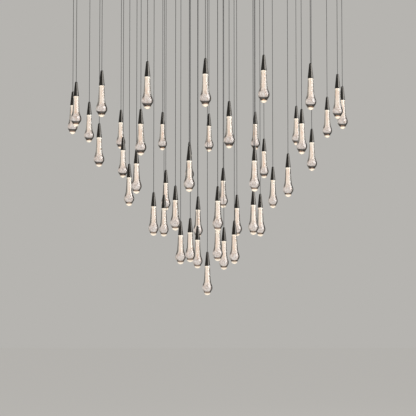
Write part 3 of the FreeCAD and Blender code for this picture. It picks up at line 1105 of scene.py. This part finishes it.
    def bubble_group(self, rng: np.random.Generator) -> Patch:
        """Separate gas bubbles: twenty-sided beads, drawn out upwards, larger and wider apart in the bulb.

        Args:
            rng: Seeded random numbers.

        Returns:
            The bubbles below their cap's top at the origin.
        """
        corners, faces = icosahedron()
        count = self.bubbles
        near, far = self.bubble_span
        below = near + (far - near) * rng.beta(*self.bubble_shapes, count)
        grown = np.clip((below - self.growth_start) / self.growth_length, 0.0, 1.0)
        size = rng.uniform(*self.bubble_radii, count) * (1.0 + self.bubble_growth * grown)
        spread = (self.bubble_room * self.radius_at(below) - size) * np.sqrt(rng.uniform(0.05, 1.0, count))
        angle = rng.uniform(0.0, 2.0 * math.pi, count)
        middle = np.stack([spread * np.cos(angle), spread * np.sin(angle), -self.cap_height - below], axis=-1)
        longer = rng.uniform(*self.bubble_stretch, count)
        stretch = np.stack([np.ones(count), np.ones(count), longer], axis=-1)
        points = (middle[:, None] + corners[None] * (size[:, None] * stretch)[:, None]).reshape(-1, 3)
        starts = len(corners) * np.arange(count)[:, None, None]
        return Patch(points, np.zeros((0, 4), int), (faces[None] + starts).reshape(-1, 3))

    def cap(self) -> Patch:
        """Turned cap: a rounded tip, a long straight cone, an eased rim, and the socket inside.

        Returns:
            The cap, its top at the origin.
        """
        socket = self.neck_length + self.led_height - self.cap_height
        inner = self.cap_radius - self.cap_wall
        outside = smooth_line([(2.0, 0.0), (4.2, -0.35), (6.4, -2.0), (7.7, -4.6), (8.3, -8.5)], 5) * MM
        corners = [
            (outside[-1, 0], outside[-1, 1]),
            (self.cap_radius, -self.cap_height),
            (inner, -self.cap_height),
            (inner - self.cone_slope * (self.neck_length + self.led_height), socket),
            (outside[0, 0], socket),
        ]
        return revolve(np.concatenate([outside[:-1], eased(corners, self.cap_edge)]), self.sides)

    def build(self, group: PendantGroup, rng: np.random.Generator) -> None:
        """Makes the glass, seeds, bubbles and caps of a group.

        Args:
            group: The group of drops.
            rng: Seeded random numbers.
        """
        cap = self.cap()
        glass, clouds, bubbles, caps = [], [], [], []
        for seat in group.seats():
            turn = rng.uniform(0.0, 2.0 * math.pi)
            glass.append(self.glass(rng).moved(seat))
            clouds.append(self.cloud(rng).turned(turn).moved(seat))
            bubbles.append(self.bubble_group(rng).moved(seat))
            caps.append(cap.moved(seat))
        body = group.node("pendant")
        name, glass_node, cap_node = group.name, group.node("glass_drop"), group.node("cap")
        pieces = [
            (Piece(f"{name}_crystal", group.crystal, "seeded_crystal", (glass_node,), body, 60.0), glass),
            (Piece(f"{name}_seeds", Finish.SEEDS, "seeded_crystal", (), body), clouds),
            (Piece(f"{name}_bubbles", Finish.BUBBLES, "seeded_crystal", (), body, 80.0), bubbles),
            (Piece(f"{name}_cap_shells", Finish.BLACK_NICKEL, "cap_metal", (cap_node,), body), caps),
        ]
        for piece, patches in pieces:
            make_piece(piece, joined(patches))


@dataclass
class Canopy:
    """Round canopy: a flat plate inside a deep skirt, held by nuts from below and screws from the side."""

    sides: int = 256
    skirt_wall: float = 2.0 * MM
    plate_gap: float = 0.3 * MM
    # The plate's flat middle is one fan of triangles.
    fan_radius: float = 300.0 * MM
    edge: float = 0.8 * MM
    nut_flats: float = 13.0 * MM
    screw_level: float = -23.0 * MM
    screw_head: float = 3.5 * MM
    screw_radius: float = 4.0 * MM
    socket_radius: float = 1.3 * MM
    socket_floor: float = 1.6 * MM

    def skirt_radius(self) -> float:
        """Outer radius of the skirt."""
        low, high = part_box("canopy_skirt")
        return (high[0] - low[0]) / 2.0

    def skirt(self) -> Patch:
        """Deep ring with eased edges.

        Returns:
            The skirt.
        """
        low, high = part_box("canopy_skirt")
        outer = self.skirt_radius()
        inner = outer - self.skirt_wall
        corners = [(outer, high[2]), (outer, low[2]), (inner, low[2]), (inner, high[2])]
        return revolve(eased(corners, self.edge, 3, closed=True), self.sides, ring=True)

    def plate(self) -> Patch:
        """Flat disc inside the skirt.

        Returns:
            The plate.
        """
        low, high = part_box("canopy_plate")
        rim, fan = self.skirt_radius() - self.skirt_wall - self.plate_gap, self.fan_radius
        corners = [(fan, high[2]), (rim, high[2]), (rim, low[2]), (fan, low[2])]
        return revolve(eased(corners, self.edge), self.sides)

    def dome_nut(self) -> Patch:
        """Closed nut: a hexagon with turned corners, and a dome whose section is a quarter of an ellipse.

        Returns:
            One nut on the Z axis.
        """
        low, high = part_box("cap_nuts")
        t = np.linspace(0.1, 1.5, 8)
        half = 0.5 * (high[2] - low[2])
        base = low[2] + half
        corner, neck = 0.6 * self.nut_flats, 0.44 * self.nut_flats
        upper = [(0.48 * self.nut_flats, high[2]), (corner, high[2] - 0.5 * MM)]
        lower = [(corner, base + 0.8 * MM), (neck, base)]
        dome = np.stack([neck * np.cos(t), base - half * np.sin(t)], axis=-1)
        return revolve(np.concatenate([upper, lower, dome]), 48, self.nut_flats)

    def button_screw(self) -> Patch:
        """Low domed screw head with a round socket, its face towards +X.

        Returns:
            One screw head on the skirt's +X side.
        """
        t = np.linspace(1.25, 0.0, 7)
        dome = np.stack([self.screw_radius * np.cos(t), self.screw_head * np.sin(t)], axis=-1)
        lip = (self.socket_radius, dome[0, 1] - 0.1 * MM)
        socket = np.array([(self.socket_radius - 0.1 * MM, self.socket_floor), lip])
        head = revolve(np.concatenate([socket, dome]), 24)
        return head.laid_out().moved((self.skirt_radius(), 0.0, self.screw_level))

    def build(self) -> None:
        """Makes the skirt, the plate, the nuts and the screws."""
        nut = self.dome_nut()
        nuts = [nut.moved((x, y, 0.0)) for x, y, _ in node_seats("cap_nuts", 30.0 * MM)]
        skirt = Piece("canopy_skirt_shell", Finish.SATIN_NICKEL, "canopy_finish", ("canopy_skirt",))
        plate = Piece("canopy_plate_sheet", Finish.SATIN_NICKEL, "canopy_finish", ("canopy_plate",))
        make_piece(skirt, self.skirt())
        make_piece(plate, self.plate())
        make_piece(Piece("dome_nuts", Finish.BLACK_NICKEL, "cap_metal", ("cap_nuts",)), joined(nuts))
        screws = Piece("button_screws", Finish.BLACK_NICKEL, "cap_metal", ("skirt_screws",))
        make_piece(screws, four_times(self.button_screw()))


@dataclass
class CordGrips:
    """Screwed grips that hold the cords: a stem through the plate, its lock nut, and a head with a collet."""

    head_flats: float = 16.0 * MM
    nut_flats: float = 13.0 * MM
    nut_height: float = 3.4 * MM
    stem_radius: float = 4.4 * MM
    thread_pitch: float = 1.25 * MM
    thread_depth: float = 0.35 * MM
    mouth_radius: float = 3.2 * MM
    collet_height: float = 3.0 * MM

    def grip(self) -> Patch:
        """One grip: a threaded stem, a chamfered nut, a chamfered head and a conical collet.

        Returns:
            The grip on the Z axis.
        """
        low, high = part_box("cord_grips")
        plate_low, plate_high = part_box("canopy_plate")
        turns = np.arange(0.0, high[2] - plate_high[2], self.thread_pitch / 2.0)
        crest = self.stem_radius - self.thread_depth * (np.arange(len(turns)) % 2)
        thread = revolve(np.stack([crest, high[2] - turns], axis=-1), 12)
        top = plate_high[2] + self.nut_height
        corner = 0.6 * self.nut_flats
        nut_rows = [(0.46 * self.nut_flats, top), (corner, top - 0.7 * MM), (corner, plate_high[2])]
        nut = revolve(np.array(nut_rows), 24, self.nut_flats)
        corner = 0.6 * self.head_flats
        shoulder = low[2] + self.collet_height
        head_rows = [
            (corner, plate_low[2]),
            (corner, shoulder + 1.0 * MM),
            (0.46 * self.head_flats, shoulder),
            (0.36 * self.head_flats, shoulder - 0.2 * MM),
            (0.30 * self.head_flats, low[2] + 0.5 * MM),
            (self.mouth_radius, low[2]),
        ]
        head = revolve(np.array(head_rows), 24, self.head_flats)
        return joined([thread, nut, head])

    def build(self, groups: list[PendantGroup]) -> None:
        """Makes a grip over each cord."""
        grip = self.grip()
        grips = [grip.moved((x, y, 0.0)) for group in groups for x, y, _ in group.seats()]
        piece = Piece("cord_grip_bodies", Finish.BLACK_NICKEL, "cap_metal", ("cord_grips",))
        make_piece(piece, joined(grips))


@dataclass
class Drivers:
    """Power supplies: a moulded base with feet, a ribbed cover over it, and a screw in each foot."""

    middle: float = 440.0 * MM
    length: float = 240.0 * MM
    width: float = 56.0 * MM
    foot: float = 15.0 * MM
    foot_thickness: float = 3.0 * MM
    cover_share: float = 0.3
    seam_gap: float = 0.4 * MM
    seam_step: float = 0.6 * MM
    ribs: int = 9
    rib_half: float = 1.2 * MM
    rib_height: float = 2.0 * MM
    rib_inset: float = 5.0 * MM
    screw_radius: float = 3.8 * MM
    screw_head: float = 2.4 * MM

    def case(self) -> Patch:
        """The case: a cover above the seam, a base a step narrower below it, the feet and the ribs.

        Returns:
            The case of the power supply on the +X side.
        """
        low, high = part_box("led_drivers")
        bottom, top = low[2], high[2]
        half, body, side = self.length / 2.0, self.length / 2.0 - self.foot, self.width / 2.0
        seam, step = top - self.cover_share * (top - bottom), self.seam_step
        rows = [
            ((-body, -side, seam + self.seam_gap), (body, side, top), 1.2 * MM),
            ((-body + step, -side + step, bottom + 0.8 * MM), (body - step, side - step, seam), 2.5 * MM),
            ((-half, -0.6 * side, top - self.foot_thickness), (half, 0.6 * side, top), 1.2 * MM),
        ]
        reach, rib, rib_top = side - self.rib_inset, self.rib_half, bottom + self.rib_height
        for x in np.linspace(-0.62 * body, 0.62 * body, self.ribs):
            rows.append(((x - rib, -reach, bottom), (x + rib, reach, rib_top), 0.5 * MM, 2))
        return blocks(rows).moved((self.middle, 0.0, 0.0))

    def foot_screws(self) -> Patch:
        """Domed screw heads under the feet.

        Returns:
            The two heads of the power supply on the +X side.
        """
        t = np.linspace(0.0, 1.25, 6)
        dome = np.stack([self.screw_radius * np.cos(t), -self.screw_head * np.sin(t)], axis=-1)
        head = revolve(np.concatenate([dome, [(1.1 * MM, -2.2 * MM), (1.0 * MM, -1.2 * MM)]]), 20)
        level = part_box("led_drivers")[1][2] - self.foot_thickness
        reach = (self.length - self.foot) / 2.0
        return joined([head.moved((self.middle + side * reach, 0.0, level)) for side in (-1, 1)])

    def build(self) -> None:
        """Makes the four power supplies and their screws."""
        cases = Piece("driver_cases", Finish.DRIVER_CASE, "driver_case", ("led_drivers",))
        make_piece(cases, four_times(self.case()))
        screws = Piece("driver_screws", Finish.PLATED_STEEL, "bright_steel")
        make_piece(screws, four_times(self.foot_screws()))


@dataclass
class Wiring:
    """Leads in the canopy: bundles over the grips and out to the drivers, and mains leads with a block."""

    lead_radius: float = 1.25 * MM
    lead_gap: float = 2.6 * MM
    bundle: int = 3
    loop_level: float = -45.0 * MM
    spoke_level: float = -41.0 * MM
    tail_top: float = -36.0 * MM
    driver_middle: float = 440.0 * MM
    mains_offset: float = 22.0 * MM
    mains_reach: float = 320.0 * MM
    mains_level: float = -8.0 * MM
    terminal_side: float = 25.0 * MM
    terminal_length: float = 80.0 * MM
    terminal_width: float = 24.0 * MM
    poles: int = 5
    first_tie: float = 130.0 * MM
    last_tie: float = 860.0 * MM
    tie_step: float = 120.0 * MM
    tie_width: float = 2.6 * MM
    # Less than this along Z is a level run.
    level_run: float = 1.0 * MM

    def side_by_side(self, path: np.ndarray, across: np.ndarray) -> list[Patch]:
        """Leads beside one another along a path.

        Args:
            path: Points of the bundle's middle line.
            across: The direction across it, for all its points or for each.

        Returns:
            The leads, each shifted by its share of the bundle's width.
        """
        shares = np.arange(self.bundle) - (self.bundle - 1) / 2.0
        up = (0.0, 0.0, 1.0) if abs(path[-1, 2] - path[0, 2]) < self.level_run else (1.0, 1.0, 0.0)
        return [tube(path + share * self.lead_gap * across, self.lead_radius, 8, up) for share in shares]

    def loop(self, seats: np.ndarray) -> list[Patch]:
        """Bundle that runs from grip to grip round a ring and closes on itself.

        Args:
            seats: The places of the ring's drops.

        Returns:
            The leads.
        """
        corners = np.concatenate([seats[:, :2], seats[:1, :2]])
        t = np.linspace(0.0, 1.0, 9)[:-1, None]
        runs = [start + t * (end - start) for start, end in zip(corners[:-1], corners[1:])]
        flat = np.concatenate(runs + [corners[-1:]])
        path = np.concatenate([flat, np.full((len(flat), 1), self.loop_level)], axis=1)
        across = path * np.array([1.0, 1.0, 0.0])
        return self.side_by_side(path, across / np.linalg.norm(across, axis=1, keepdims=True))

    def straight(self, start: Point, end: Point) -> list[Patch]:
        """Bundle on a straight run, its leads side by side across it.

        Args:
            start: Where the run starts.
            end: Where it ends.

        Returns:
            The leads.
        """
        path = np.linspace(start, end, 12)
        run = path[-1] - path[0]
        level = abs(run[2]) < self.level_run
        across = np.array([-run[1], run[0], 0.0] if level else [0.0, 1.0, 0.0])
        return self.side_by_side(path, across / np.linalg.norm(across))

    def low_voltage(self, groups: list[PendantGroup]) -> Patch:
        """Loops over the rings, spokes across them, and a tail up to each driver.

        Args:
            groups: The centre drop, the inner drops one by one, and the rings.

        Returns:
            All the low-voltage leads.
        """
        inner = np.concatenate([group.seats() for group in groups[1:] if not group.ring])
        rings = [inner] + [group.seats() for group in groups if group.ring]
        reach, level = max(math.hypot(*seat[:2]) for seat in rings[-1]), self.spoke_level
        parts = [lead for seats in rings for lead in self.loop(seats)]
        parts += self.straight((-reach, 0.0, level), (reach, 0.0, level))
        parts += self.straight((0.0, -reach, level), (0.0, reach, level))
        tail = self.straight((self.driver_middle, 0.0, level), (self.driver_middle, 0.0, self.tail_top))
        return joined(parts + [four_times(joined(tail))])

    def mains(self) -> Patch:
        """Two crossed runs of three leads under the frame.

        Returns:
            The mains leads.
        """
        side, reach, level = self.mains_offset, self.mains_reach, self.mains_level
        along_x = self.straight((-reach, side, level), (reach, side, level))
        along_y = self.straight((side, -reach, level), (side, reach, level))
        return joined(along_x + along_y)

    def ties(self) -> Patch:
        """Cable ties round the spokes: two flat bands, a side band and a small square lock each.

        Returns:
            The ties on all four spokes.
        """
        half, rise, wall, ledge = 4.6 * MM, 2.2 * MM, 0.8 * MM, 1.0 * MM
        bottom, top = self.spoke_level - rise, self.spoke_level + rise
        side, lock_low, lock_high = -half + 0.3 * MM, half - 0.4 * MM, half + 1.8 * MM
        rows = []
        for x in np.arange(self.first_tie, self.last_tie, self.tie_step):
            end = x + self.tie_width
            rows += [((x, -half, z), (end, half, z + wall), 0.3 * MM, 2) for z in (bottom, top - wall)]
            rows.append(((x - ledge, lock_low, bottom), (end + ledge, lock_high, top), 0.6 * MM))
            rows.append(((x, side - wall, bottom), (end, side, top), 0.3 * MM))
        return four_times(blocks(rows))

    def terminals(self) -> Patch:
        """Terminal block: a base strip and one rounded housing for each pole.

        Returns:
            The block.
        """
        low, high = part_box("terminal_block")
        side, far = self.terminal_side, self.terminal_side + self.terminal_width
        rows = [((side, side, high[2] - 6.0 * MM), (side + self.terminal_length, far, high[2]), 1.0 * MM)]
        pitch, gap, inset = self.terminal_length / self.poles, 0.8 * MM, 1.0 * MM
        for pole in range(self.poles):
            start = side + pole * pitch + gap
            stop = start + pitch - 2.0 * gap
            rows.append(((start, side + inset, low[2]), (stop, far - inset, high[2] - 4.0 * MM), 2.0 * MM))
        return blocks(rows)

    def terminal_screws(self) -> Patch:
        """Screws in the terminal block, two to a pole.

        Returns:
            The screws.
        """
        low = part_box("terminal_block")[0]
        head = revolve(np.array([(2.2, 1.0), (2.2, -0.1), (1.8, -0.4)]) * MM, 16)
        side, pitch = self.terminal_side, self.terminal_length / self.poles
        places = [
            (side + (pole + 0.5) * pitch, side + share * self.terminal_width, low[2])
            for pole in range(self.poles)
            for share in (0.3, 0.7)
        ]
        return joined([head.moved(place) for place in places])

    def build(self, groups: list[PendantGroup]) -> None:
        """Makes the leads, their ties, the terminal block and its screws.

        Args:
            groups: The groups of drops.
        """
        leads = Piece("harness_leads", Finish.SLEEVE, "harness_sleeve", ("low_voltage_harness",))
        make_piece(leads, self.low_voltage(groups))
        make_piece(Piece("mains_lead_runs", Finish.SLEEVE, "harness_sleeve", ("mains_leads",)), self.mains())
        make_piece(Piece("cable_ties", Finish.TERMINAL, "terminal_plastic"), self.ties())
        housings = Piece("terminal_housings", Finish.TERMINAL, "terminal_plastic", ("terminal_block",))
        make_piece(housings, self.terminals())
        make_piece(Piece("terminal_screws", Finish.PLATED_STEEL, "bright_steel"), self.terminal_screws())


@dataclass
class Studio:
    """Pale floor, pale surroundings, large soft boxes, and a white panel that only glossy surfaces show."""

    floor_level: float = -4.1
    floor_half: float = 60.0
    floor_colour: str = "#8f8d89"
    floor_share: float = 0.86
    pale: str = "#b6b4b0"
    fill: str = "#7d7b79"
    # The middle of the drops, which the lamps face.
    aim: Point = (0.0, 0.0, -1.3)

    def seen_ray(self, tree: Tree) -> Socket:
        """Socket that is 1 for a ray of the camera, of gloss or through glass, and 0 for diffuse light.

        Args:
            tree: The node tree that uses it.

        Returns:
            The socket.
        """
        seen = add_node(tree, "LightPath", out="Is Camera Ray")
        for name in ("Is Glossy Ray", "Is Transmission Ray"):
            ray = add_node(tree, "LightPath", out=name)
            seen = add_node(tree, "Math", {0: seen, 1: ray}, operation="MAXIMUM")
        return seen

    def softbox(
        self,
        name: str,
        place: Point,
        size: Pair,
        power: float,
        lights: bool = True,
        mirrored: bool = True,
    ) -> None:
        """Rectangular lamp that faces the middle of the drops.

        Args:
            name: The lamp's name.
            place: Its middle.
            size: Its width and height.
            power: Its power in watts.
            lights: Whether it lights matt surfaces.
            mirrored: Whether glossy surfaces mirror it.
        """
        data = bpy.data.lights.new(name, "AREA")
        data.shape = "RECTANGLE"
        data.size, data.size_y = size
        data.energy = power
        lamp = linked(name, data)
        lamp.location = place
        lamp.visible_camera = False
        lamp.visible_transmission = False
        lamp.visible_diffuse = lights
        lamp.visible_glossy = mirrored
        aim = np.array(self.aim) - np.array(place)
        tilt = math.atan2(math.hypot(aim[0], aim[1]), -aim[2])
        lamp.rotation_euler = (tilt, 0.0, math.atan2(-aim[0], aim[1]))

    def surroundings(self) -> None:
        """Pale world for what is seen, and a weaker even fill for diffuse light."""
        world = bpy.data.worlds.new("surroundings")
        bpy.context.scene.world = world
        world.use_nodes = True
        tree = world.node_tree
        pale = node_of(tree, "BACKGROUND")
        feed(pale, {"Color": self.pale})
        fill = add_node(tree, "Background", {"Color": self.fill})
        mix = add_node(tree, "MixShader", {0: self.seen_ray(tree), 1: fill, 2: pale.outputs[0]})
        feed(node_of(tree, "OUTPUT_WORLD"), {"Surface": mix})

    def floor(self) -> None:
        """Matt floor in the surroundings' tone, which keeps the shadow and can't be seen from below."""
        half = self.floor_half
        mesh = bpy.data.meshes.new("floor")
        corners = [(-half, -half), (half, -half), (half, half), (-half, half)]
        mesh.from_pydata([(x, y, self.floor_level) for x, y in corners], [], [(0, 1, 2, 3)])
        floor = linked("floor", mesh)
        material = bpy.data.materials.new("matt_floor")
        material.use_nodes = True
        tree = material.node_tree
        shader, add = node_of(tree, "BSDF_PRINCIPLED"), partial(add_node, tree)
        lift = add("Math", {0: self.seen_ray(tree), 1: self.floor_share}, operation="MULTIPLY")
        matt = {"Base Color": self.floor_colour, "Roughness": 0.9, "Specular IOR Level": 0.0}
        feed(shader, {**matt, "Emission Color": self.pale, "Emission Strength": lift})
        behind = add("NewGeometry", out="Backfacing")
        mix = add("MixShader", {0: behind, 1: shader.outputs[0], 2: add("BsdfTransparent")})
        feed(node_of(tree, "OUTPUT_MATERIAL"), {"Surface": mix})
        mesh.materials.append(material)

    def build(self) -> None:
        """Adds the floor, the surroundings, two soft boxes and a white panel that only gloss shows."""
        bpy.context.scene.view_settings.view_transform = "Standard"
        self.surroundings()
        self.floor()
        self.softbox("broad_right", (5.5, -4.1, 1.2), (3.2, 5.0), 620.0, mirrored=False)
        self.softbox("white_panel_right", (6.0, -3.0, 1.2), (8.0, 6.0), 950.0, lights=False)
        self.softbox("high_back", (-2.5, 6.5, 4.0), (5.0, 2.5), 150.0)


CARRIED_OVER = {
    "ceiling_frame": Finish.ZINC,
    "hex_standoffs": Finish.PLATED_STEEL,
    "supply_bushing": Finish.TERMINAL,
    "earth_screw": Finish.PLATED_STEEL,
}


def dress_nodes(nodes: dict[str, bpy.types.Object], groups: list[PendantGroup]) -> None:
    """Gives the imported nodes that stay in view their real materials.

    Args:
        nodes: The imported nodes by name.
        groups: The groups of drops, whose light sources glow.
    """
    finishes = {**CARRIED_OVER, **{group.node("led_module"): Finish.PHOSPHOR for group in groups}}
    for name, finish in finishes.items():
        mesh = nodes[name].data
        mesh.materials.clear()
        mesh.materials.append(material_of(finish))
        LOG.info("%s: %s", name, finish.value.name)


def main() -> None:
    """Builds the camera, the cords, the drops, the canopy and the studio, in that order."""
    logging.basicConfig(level=logging.INFO, format="%(message)s")
    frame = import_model()
    Viewpoint().build()
    groups = [PendantGroup("centre")] + [PendantGroup(f"inner_{i}") for i in range(1, 7)]
    groups += [PendantGroup(f"{name}_ring", ring=True) for name in ("second", "third")]
    groups += [PendantGroup(f"{name}_ring", True, Finish.HIGH_CRYSTAL_DARKER_SHADE) for name in ("fourth", "outer")]
    Suspension().build(groups)
    for i, group in enumerate(groups):
        Drop().build(group, np.random.default_rng(100 + i))
    Canopy().build()
    CordGrips().build(groups)
    Drivers().build()
    Wiring().build(groups)
    dress_nodes(frame["nodes"], groups)
    Studio().build()


if __name__ == "__main__":
    main()
